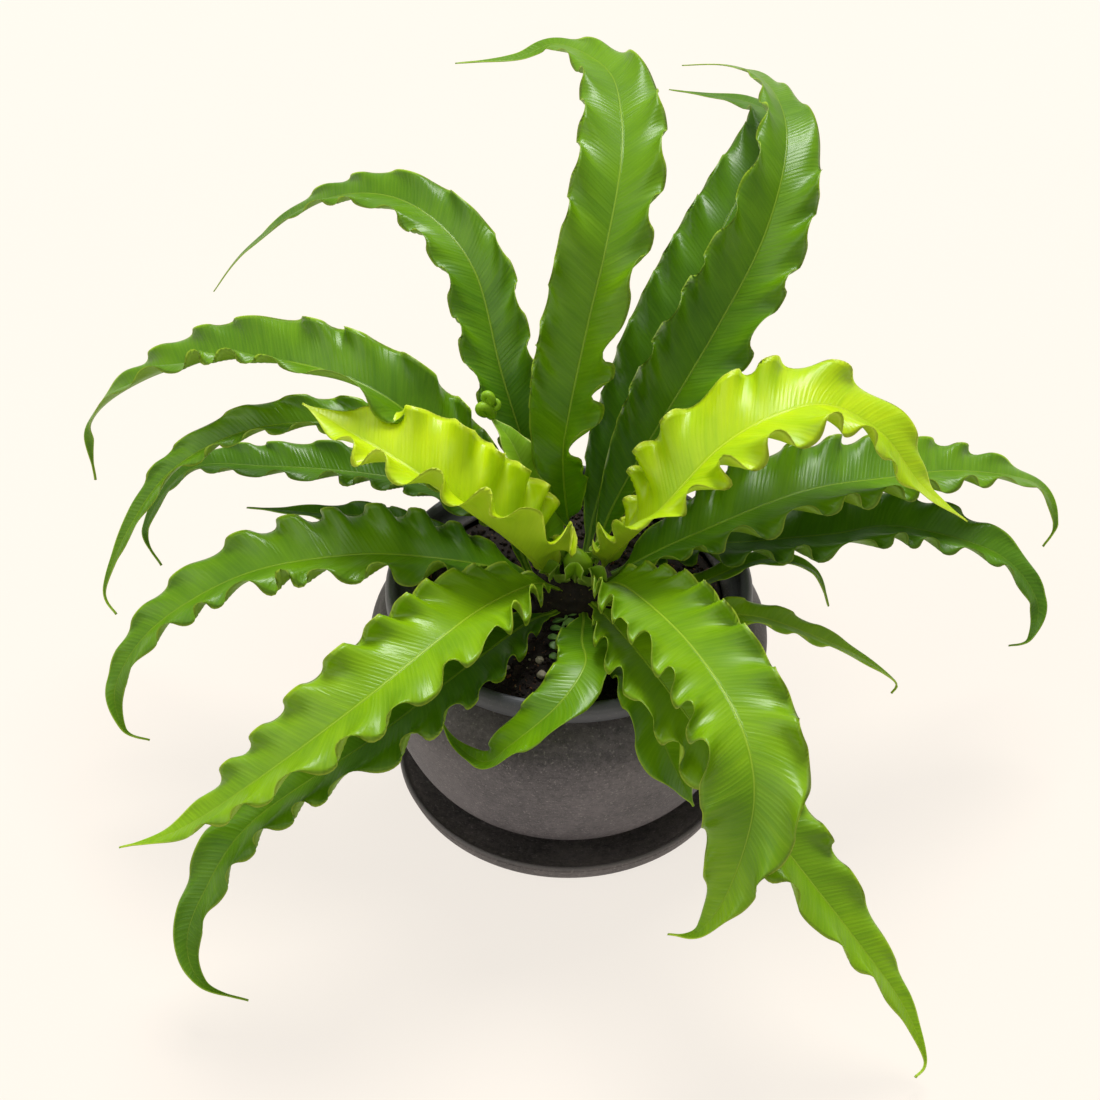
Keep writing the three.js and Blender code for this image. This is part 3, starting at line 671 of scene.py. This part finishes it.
def smooth_outline(points, steps):
    """A smooth line through [radius, height] points, as a spline gauge would draw it."""
    knots = [Vector(point) for point in points]
    knots = [knots[0] * 2 - knots[1], *knots, knots[-1] * 2 - knots[-2]]
    line = []
    for a, b, c, d in zip(knots, knots[1:], knots[2:], knots[3:]):
        for step in range(steps):
            t = step / steps
            line.append((b * 2 + (c - a) * t + (a * 2 - b * 5 + c * 4 - d) * t ** 2
                         + (b * 3 - a - c * 3 + d) * t ** 3) / 2)
    return [(point.x, point.y) for point in line + [knots[-2]]]


def arc(centre, radii, start, end, steps):
    angles = [math.radians(start + (end - start) * step / steps) for step in range(steps + 1)]
    return [(centre[0] + radii[0] * math.cos(a), centre[1] + radii[1] * math.sin(a))
            for a in angles]


def turned(name, outline, sides, material, shaped):
    """Swings an outline that starts and ends on the axis; shaped moves each point. The outline
    and shaped are in millimetres."""
    solid = bmesh.new()
    turns = [math.tau * i / sides for i in range(sides)]
    rings = []
    for radius, height in outline:
        spots = [Vector((0, 0, height))] if radius < 1e-6 else [
            Vector((radius * math.cos(turn), radius * math.sin(turn), height)) for turn in turns]
        rings.append([solid.verts.new(shaped(spot) * MM) for spot in spots])
    for low, high in zip(rings, rings[1:]):
        for i in range(sides):
            corners = [low[i % len(low)], low[(i + 1) % len(low)],
                       high[(i + 1) % len(high)], high[i % len(high)]]
            solid.faces.new(list(dict.fromkeys(corners)))
    return from_bmesh(name, solid, material)

# %% Ceramic finish
SPECK_PALE, SPECK_DARK = srgb(170, 162, 158), srgb(28, 25, 26)
LIP_BLEND, THROWING_RINGS = 0.0015, 2600
SWAY_AROUND, SWAY_UP, SWAY_START = 0.012, 0.03, Vector((4, 7, 2))


def ceramic(name, dark, pale, lip_tone, lip_from, rough):
    """Matt speckled clay; above lip_from, in metres, it is smoothed by the potter's fingers."""
    material, tree = new_finish(name)
    spot = tree.spot()
    _, _, height = spot.parts()
    lip = height.rises(lip_from, lip_from + LIP_BLEND)
    clouds = tree.cloud(spot, 24, 6, 0.62).rises(0.32, 0.68)
    mottle = tree.cloud(spot, 330, 6, 0.85).rises(0.36, 0.62)
    grit = tree.cloud(spot, 800, 2).rises(0.6, 0.7)
    pits = tree.cloud(spot + (0.5, 0.2, 0.1), 900, 2).rises(0.66, 0.74)
    colour = tree.blend(clouds * 0.4 + mottle * 0.6, dark, pale)
    colour = tree.blend(lip * 0.8, colour, lip_tone)
    colour = tree.blend(grit * (0.3 - 0.2 * lip), colour, SPECK_PALE)
    colour = tree.blend(pits * (0.5 - 0.3 * lip), colour, SPECK_DARK)
    rings = (height * THROWING_RINGS + 6 * tree.cloud(spot, 12, 2)).sine()
    relief = mottle * (0.5 - 0.35 * lip) + rings * 0.12 - pits * 0.5 + grit * 0.3
    tree.covers(tree.principled({
        "Base Color": colour, "Roughness": rough + 0.12 * mottle - 0.16 * lip,
        "Normal": tree.bump(relief, 0.5, 0.0004), "Specular IOR Level": 0.5}))
    return material


def hand_thrown(amount):
    """Lets a wall wander in and out, slowly round the pot and a little up it."""
    def shaped(spot):
        slow = Vector((spot.x * SWAY_AROUND, spot.y * SWAY_AROUND, spot.z * SWAY_UP))
        sway = noise.noise(slow + SWAY_START)
        grow = 1 + amount * sway / max(math.hypot(spot.x, spot.y), 1)
        return Vector((spot.x * grow, spot.y * grow, spot.z))
    return shaped

# %% Pot
FOOT, WALL = 6.3, 7
OUTER = [(54, 0), (76, 16), (89, 40), (100, 83.7), (95, 99.95), (84, 110.2)]
FLOOR_ENDS = 50
ROUND = 144


def belly(inset, steps):
    """The belly's outline between foot and neck; inset moves it in for the inner wall, and up
    where it nears the floor."""
    return smooth_outline([
        (radius - inset, height + (FOOT + inset if height < FLOOR_ENDS else FOOT))
        for radius, height in OUTER], steps)


under_foot = [(0, FOOT + 0.6), (50, FOOT + 0.6), (51.5, FOOT)]
groove, lip_roll = [(84, 116.2), (83.6, 117)], arc((88, 124), (3.4, 6), -120, 180, 30)
inner_neck = [(84.5, 122.5), (82, 119), (79, 117.2)]
outline = [*under_foot, *belly(0, 14)[:-1], *groove, *lip_roll, *inner_neck,
           *reversed(belly(WALL, 8)), (0, FOOT + WALL)]
pot_clay = ceramic(
    "pot_ceramic", srgb(52, 48, 50), srgb(104, 97, 99), srgb(72, 75, 81), 0.1172, 0.58)
pot = turned("pot_thrown", outline, ROUND, pot_clay, hand_thrown(0.35))
dressed(pot, "pot_ceramic", "pot")

# %% Saucer
foot_ring = [(0, 0.8), (76, 0.8), (77.5, 0)]
outer_slope = smooth_outline([(80, 0), (85, 4), (88.4, 12)], 10)
edge_roll = arc((87.2, 13), (1.2, 1.4), -30, 150, 10)
inner_slope = smooth_outline([(84.5, 12.6), (76, 9.2), (66, 6.6), (58, 6)], 8)
outline = [*foot_ring, *outer_slope, *edge_roll, *inner_slope, (0, 6)]
saucer_clay = ceramic(
    "saucer_ceramic", srgb(46, 42, 42), srgb(108, 100, 98), srgb(96, 91, 90), 0.0125, 0.6)
saucer = turned("saucer_thrown", outline, ROUND, saucer_clay, hand_thrown(0.3))
dressed(saucer, "saucer_ceramic", "saucer")
print("pot and saucer:", len(pot.data.polygons) + len(saucer.data.polygons), "faces")

# %% [markdown]
# ## Soil
# The mix is dark and crumbly, with orange bark, pale grit and a few pale round pebbles by the rim.
# Its surface is a fine disc with three sizes of noise in it. The loose bits are scattered by a
# tree, from a few plain shapes with a few faces each, bent out of true so that no two lie alike.

# %% Soil
SOIL_EDGE, SOIL_LOW, SOIL_RISE, SOIL_TOP, SOIL_RINGS = 76.8, 113.6, 1.9, 115.5, 70
SIDE_TOP = 112.5
RIM_REACH = 4
CLODS_AND_CRUMBS = [(0.11, 1.3), (0.45, 0.8), (1.1, 0.4)]


def earth(name, dark, pale, fleck, rough):
    """Crumbs of two tones, with flecks of a third."""
    material, tree = new_finish(name)
    spot = tree.spot()
    clods = tree.cloud(spot, 180, 5, 0.65)
    crumbs = tree.cloud(spot, 900, 3, 0.6)
    flecks = tree.cloud(spot + (0.3, 0.1, 0.7), 420, 2).rises(0.66, 0.7)
    colour = tree.blend((clods * 0.6 + crumbs * 0.5).rises(0.35, 0.8), dark, pale)
    tree.covers(tree.principled({
        "Base Color": tree.blend(flecks * 0.8, colour, fleck), "Roughness": rough + 0.1 * crumbs,
        "Normal": tree.bump(clods + crumbs * 0.6, 0.8, 0.001)}))
    return material


def crumbly(spot):
    """Clods and crumbs on the top of the soil; its sides and its rim stay as they are."""
    reach = math.hypot(spot.x, spot.y)
    if spot.z < SIDE_TOP or reach > SOIL_EDGE:
        return spot
    relief = sum(noise.noise(spot * scale) * height for scale, height in CLODS_AND_CRUMBS)
    return spot + Vector((0, 0, relief * min(1, (SOIL_EDGE - reach) / RIM_REACH)))


outline = [(0, 101), (72, 101), (77.4, 112.4)]
for ring in range(SOIL_RINGS):
    inward = ring / SOIL_RINGS
    outline.append((SOIL_EDGE * (1 - inward), SOIL_LOW + SOIL_RISE * inward))
outline.append((0, SOIL_TOP))
soil_mix = earth("soil", srgb(16, 10, 8), srgb(44, 29, 21), srgb(112, 74, 44), 0.85)
soil = turned("soil_mix", outline, 200, soil_mix, crumbly)
dressed(soil, "soil", "soil")

# %% Scatter tree
BARE_FROM, BARE_TO = 0.0735, 0.0745
TOP_FROM, TOP_TO = 0.1115, 0.1117
SMALLEST, DENT_DEPTH = 0.35, 0.6


def random_between(tree, low, high, seed):
    """A number for each bit, between low and high."""
    return tree.node("FunctionNodeRandomValue", {"data_type": "FLOAT"}, {
        2: low, 3: high, "Seed": seed}, 1)


scatter_tree, tree, plan = new_growth("scatter", {
    "Ground": "Geometry", "Per square metre": "Float", "Size": "Float", "Shape": "Vector",
    "Seed": "Int", "Grain": "Int", "Sunk": "Float", "Finish": "Material"})
x, y, height = tree.node("GeometryNodeInputPosition").parts()
inside = (x * x + y * y).rises(BARE_TO ** 2, BARE_FROM ** 2)
points = tree.node("GeometryNodeDistributePointsOnFaces", {}, {
    "Mesh": plan["Ground"], "Seed": plan["Seed"],
    "Density": plan["Per square metre"] * inside * height.rises(TOP_FROM, TOP_TO)}, "Points")
grain = tree.node("GeometryNodeMeshIcoSphere", {}, {"Radius": 0.5, "Subdivisions": plan["Grain"]})
dents = tree.node("ShaderNodeTexNoise", {}, {"Scale": 1.7, "Detail": 0}, 1)
grain = moved(tree, grain, (dents - 0.5) * DENT_DEPTH)
grain = tree.node("GeometryNodeTransform", {}, {"Geometry": grain, "Scale": plan["Shape"]})
spin = tree.node("FunctionNodeRandomValue", {"data_type": "FLOAT_VECTOR"}, {
    0: (0.0, 0.0, 0.0), 1: (6.28, 6.28, 6.28), "Seed": plan["Seed"]})
spin = tree.node("FunctionNodeEulerToRotation", {}, {"Euler": spin})
big = random_between(tree, SMALLEST, 1.0, plan["Seed"])
bits = tree.node("GeometryNodeInstanceOnPoints", {}, {
    "Points": points, "Instance": grain, "Rotation": spin, "Scale": big * plan["Size"]})
lift = tree.vector(0, 0, plan["Size"] * plan["Sunk"])
finish_growth(tree, moved(tree, bits, lift), plan["Finish"])
print("scatter tree:", len(scatter_tree.nodes), "nodes")

# %% Loose bits
# Each row: how many on a square metre, size, shape, seed, subdivisions, lift as a share of the
# size, and finish.
crumb_mix = earth("soil_crumbs", srgb(22, 14, 10), srgb(56, 38, 27), srgb(96, 66, 42), 0.85)
bark_mix = earth("bark", srgb(84, 50, 28), srgb(150, 100, 58), srgb(190, 150, 100), 0.75)
grit_mix = earth("grit", srgb(150, 140, 118), srgb(206, 196, 168), srgb(120, 110, 84), 0.7)
SCATTERS = {
    "soil_crumbs": (90000.0, 3.2, (1, 0.85, 0.8), 1, 1, 0.15, crumb_mix),
    "soil_clods": (9000.0, 6.5, (1, 0.8, 0.7), 2, 2, 0.0, crumb_mix),
    "bark_bits": (7000.0, 4.6, (1, 0.42, 0.2), 3, 1, 0.3, bark_mix),
    "pale_grit": (4500.0, 1.7, (1, 0.9, 0.8), 4, 1, 0.7, grit_mix),
}
for name, (count, size, shape, seed, grain_steps, sunk, finish) in SCATTERS.items():
    bits = run_tree(placed(name, soil.data.copy()), scatter_tree, {
        "Per square metre": count, "Size": size * MM, "Shape": shape, "Seed": seed,
        "Grain": grain_steps, "Sunk": sunk, "Finish": finish})
    dressed(bits, "soil")
    print(name, len(bits.data.polygons), "faces")

# %% Pale pebbles
# Rounded stones, each a ball bent by noise and pressed flatter, half bedded in the soil.
PEBBLES = [(-14.5, -43, 2.2), (-13.5, -53, 2.4), (-30, -48, 1.3), (27, -50, 1.6)]
PEBBLE_HEIGHT, PEBBLE_FLATNESS, PEBBLE_BEND = 115.2, 0.8, 0.16
solid = bmesh.new()
for x, y, radius in PEBBLES:
    ball = bmesh.ops.create_icosphere(solid, subdivisions=3, radius=radius)
    for vert in ball["verts"]:
        vert.co *= 1 + PEBBLE_BEND * noise.noise(vert.co * 0.6 + Vector((x, y, 0)))
        vert.co.z *= PEBBLE_FLATNESS
        vert.co = (vert.co + Vector((x, y, PEBBLE_HEIGHT))) * MM
dressed(from_bmesh("pebbles", solid, grit_mix), "soil")
print("pebbles:", len(PEBBLES))

# %% [markdown]
# ## Crown, bud and fiddleheads
# The fronds grow from a low dome of old brown leaf bases. In its middle sit the next leaves: a bud
# of cupped scales, each a small folded frond of the same tree, round a green knob. One young leaf
# behind still has its tip rolled up into a fiddlehead, which is a tapered tube wound in a spiral.

# %% Crown
def husky(spot):
    """Moves a point of the plain dome to the crown's place and wrinkles it in rings."""
    centre = Vector(CROWN_CENTRE)
    spot = spot + Vector((centre.x, centre.y, 0))
    out = spot - centre
    rings = 0.5 + 0.5 * math.sin(out.z * 1.6 + 3 * noise.noise(out * 0.2))
    return spot + out.normalized() * (0.5 * rings + 0.7 * noise.noise(out * 0.5) - 0.5)


# The husk's browns are darker than the old leaf bases' own: partly painted shade, so that the crown
# reads as the shadow in the gap between the fronds.
husk_and_painted_shade = earth("crown", srgb(20, 14, 9), srgb(50, 36, 22), srgb(84, 70, 40), 0.8)
dome = arc((0, CROWN_CENTRE[2]), (CROWN_RADIUS, CROWN_RADIUS), 0, 90, 40)
outline = [(0, 99), (15.4, 99), (18, 103), *dome[:-1], (0, CROWN_CENTRE[2] + CROWN_RADIUS)]
crown = turned("crown_husk", outline, 96, husk_and_painted_shade, husky)
dressed(crown, "crown", "crown")
print("crown:", len(crown.data.polygons), "faces")

# %% Tubes and coils
COIL_STEPS, COIL_CLOSING, COIL_THINNING, COIL_SHIFT = 20, 0.72, 0.45, 0.6


def plain_leaf(solid):
    """Tells the leaf finish that every point so far lies well inside a margin."""
    layer = solid.verts.layers.float.new("margin")
    for vert in solid.verts:
        vert[layer] = WELL_INSIDE


def tube(solid, path, radii, sides=12):
    """A round tube along a path, with its ends closed, added to a bmesh."""
    rings, flat = [], None
    for i, spot in enumerate(path):
        along = (path[min(i + 1, len(path) - 1)] - path[max(i - 1, 0)]).normalized()
        flat = along.orthogonal() if flat is None else flat - along * flat.dot(along)
        flat.normalize()
        other = along.cross(flat)
        turns = [math.tau * k / sides for k in range(sides)]
        rings.append([solid.verts.new(
            (spot + radii[i] * (math.cos(turn) * flat + math.sin(turn) * other)) * MM)
            for turn in turns])
    for low, high in zip(rings, rings[1:]):
        for k in range(sides):
            solid.faces.new([low[k], low[(k + 1) % sides], high[(k + 1) % sides], high[k]])
    solid.faces.new(list(reversed(rings[0])))
    solid.faces.new(rings[-1])


def fiddlehead(solid, start, centre, axis, turns, thick):
    """A tube that leaves start and winds in round centre, thinner toward its end."""
    arm = start - centre
    path, radii = [], []
    steps = int(turns * COIL_STEPS)
    for step in range(steps + 1):
        share = step / steps
        turn = share * turns * math.tau
        around = arm * math.cos(turn) + axis.cross(arm) * math.sin(turn)
        path.append(centre + around * (1 - COIL_CLOSING * share) + axis * (COIL_SHIFT * share))
        radii.append(thick * (1 - COIL_THINNING * share))
    tube(solid, path, radii)

# %% Fiddleheads
# Each row, from the young leaf's tip: where a coil starts, its centre, its turns, its thickness.
YOUNG_TIP = Vector((-40, 48, 196))
COIL_AXIS = Vector((-0.3, -0.75, 0.6)).normalized()
COILS = [
    ((0.8, 0.3, -1), (-1.6, -1.4, 3.2), 1.4, 3.1),
    ((0.2, 0.2, 6.5), (-0.2, 0.6, 9.5), 1.3, 2.3),
    ((2, 0, 4), (3.6, 0.5, 6), 1.2, 1.5),
]
solid = bmesh.new()
for start, centre, turns, thick in COILS:
    start, centre = YOUNG_TIP + Vector(start), YOUNG_TIP + Vector(centre)
    fiddlehead(solid, start, centre, COIL_AXIS, turns, thick)
plain_leaf(solid)
knobs = from_bmesh("fiddleheads", solid, FINISH["young_leaf"])
dressed(knobs, "young_leaf")
print("fiddleheads:", len(knobs.data.polygons), "faces")

# %% Bud: the green knob
BUD_CENTRE, BUD_RADIUS = Vector((4, 3, 137)), 7.2
LOBES, LOBE_DEPTH, LOBE_TWIST = 3, 0.09, 0.3
BUD_TALLNESS, BUD_POINT = 1.1, 0.12
solid = bmesh.new()
ball = bmesh.ops.create_icosphere(solid, subdivisions=4, radius=BUD_RADIUS)
for vert in ball["verts"]:
    x, y, z = vert.co
    lobes = LOBE_DEPTH * math.cos(LOBES * math.atan2(y, x) + z * LOBE_TWIST)
    point = BUD_POINT * max(0, z / BUD_RADIUS) ** 4
    knob = Vector((x * (1 + lobes), y * (1 + lobes), z * (BUD_TALLNESS + point)))
    vert.co = (knob + BUD_CENTRE) * MM
plain_leaf(solid)

# %% Bud: cupped scales round it
# Each ring of cups: its radius, the height of a cup, how many, and where it starts in radians.
# A cup's midrib goes out and up by shares of that radius and height.
CUP_RINGS = [(5.6, 11, 3, 0.4), (8.4, 10, 4, 0.6)]
CUP_RIB = [(0, 0), (0.6, 0.35), (0.85, 0.75), (0.85, 1.1), (0.68, 1.35), (0.5, 1.45)]
CUP_WIDTH, CUP_FOOT_IN, CUP_FOOT_DOWN = 1.5, 2, 9
CUP_SHAPE = {
    "Taper": 0.88, "Waves": 3.0, "Ripple": 0.1, "Ruffle": 0.0, "Drift": DRIFT, "Rows": 41,
    "Finish": FINISH["young_leaf"],
    **three_angles("Fold", (0.5, 0.9, 1.0)), **three_angles("Roll", (0.0, 0.0, 0.0))}
for ring_radius, size, count, start in CUP_RINGS:
    for leaf in range(count):
        around = start + leaf * math.tau / count
        out, rise = Vector((math.cos(around), math.sin(around), 0)), Vector((0, 0, 1))
        foot = BUD_CENTRE + out * (ring_radius - CUP_FOOT_IN) - rise * CUP_FOOT_DOWN
        stations = [foot + out * (ring_radius * bulge) + rise * (size * up)
                    for bulge, up in CUP_RIB]
        scale = grown(f"bud_scale_{leaf}", metres(stations), frond_tree, {
            **CUP_SHAPE, "Width": CUP_WIDTH * size * MM, "Wave shift": leaf * WAVE_SHIFT,
            "Tone": leaf * WAVE_SHIFT % 1})
        solid.from_mesh(scale.data)
        bpy.data.objects.remove(scale)
bud = from_bmesh("bud_leaves", solid, FINISH["young_leaf"])
dressed(bud, "young_leaf", "bud")
print("bud:", len(bud.data.polygons), "faces")

# %% [markdown]
# ## Creeping sprig
# A thin creeping stem with small round leaves lies on the soil before the crown. The leaves repeat,
# so a tree sets them on points of the stem, left and right in turn.

# %% Sprig finish
sprig_green, tree = new_finish("sprig_leaf")
mottle = tree.cloud(tree.spot(), 300, 3)
tree.covers(tree.principled({
    "Base Color": tree.blend(mottle.rises(0.35, 0.7), srgb(106, 146, 62), srgb(66, 104, 36)),
    "Roughness": 0.42 + 0.1 * mottle, "Normal": tree.bump(mottle, 0.4, 0.0003)}))

# %% Sprig
SPRIG_STEM = [(-1, -13, 118), (-3, -22, 118), (-5, -34, 118), (-4, -46, 118), (-2, -58, 118)]
STEM_RADIUS, LEAF_COUNT, LEAF_RADIUS, CUPPING = 0.8 * MM, 14, 3.0 * MM, 0.35
sprig_tree, tree, plan = new_growth("sprig", {
    "Stem": "Geometry", "Leaves": "Int", "Leaf radius": "Float", "Seed": "Int",
    "Finish": "Material"})
stem = smooth_rib(tree, plan["Stem"], 60)
ring = tree.node("GeometryNodeCurvePrimitiveCircle", {}, {"Resolution": 8, "Radius": STEM_RADIUS})
stalk = tree.node("GeometryNodeCurveToMesh", {}, {
    "Curve": stem, "Profile Curve": ring, "Fill Caps": True})
nodes_on_stem = tree.node("GeometryNodeResampleCurve", {"mode": "COUNT"}, {
    "Curve": stem, "Count": plan["Leaves"]})
hand = (tree.node("GeometryNodeInputIndex") * math.pi + math.pi / 2).sine()
disc = tree.node("GeometryNodeMeshUVSphere", {}, {"Segments": 12, "Rings": 6, "Radius": 1.0})
disc = tree.node("GeometryNodeTransform", {}, {
    "Geometry": disc, "Scale": (1.0, 0.9, 0.22), "Translation": (1.0, 0.0, 0.0)})
x, y, _ = tree.node("GeometryNodeInputPosition").parts()
disc = moved(tree, disc, tree.vector(0, 0, (y * y + x * 0.3) * CUPPING))
wobble = random_between(tree, -0.5, 0.5, plan["Seed"])
pose = tree.vector(wobble, -0.15 + wobble * 0.4, wobble + (1 - hand) * (math.pi / 2))
leaves = tree.node("GeometryNodeInstanceOnPoints", {}, {
    "Points": nodes_on_stem, "Instance": disc,
    "Scale": random_between(tree, 0.75, 1.15, plan["Seed"]) * plan["Leaf radius"],
    "Rotation": tree.node("FunctionNodeEulerToRotation", {}, {"Euler": pose})})
finish_growth(tree, joined(tree, stalk, leaves), plan["Finish"])
sprig = grown("sprig_leaves", metres(SPRIG_STEM), sprig_tree, {
    "Leaves": LEAF_COUNT, "Leaf radius": LEAF_RADIUS, "Seed": 5, "Finish": sprig_green})
dressed(sprig, "sprig_leaf", "sprig")
print("sprig:", len(sprig.data.polygons), "faces")
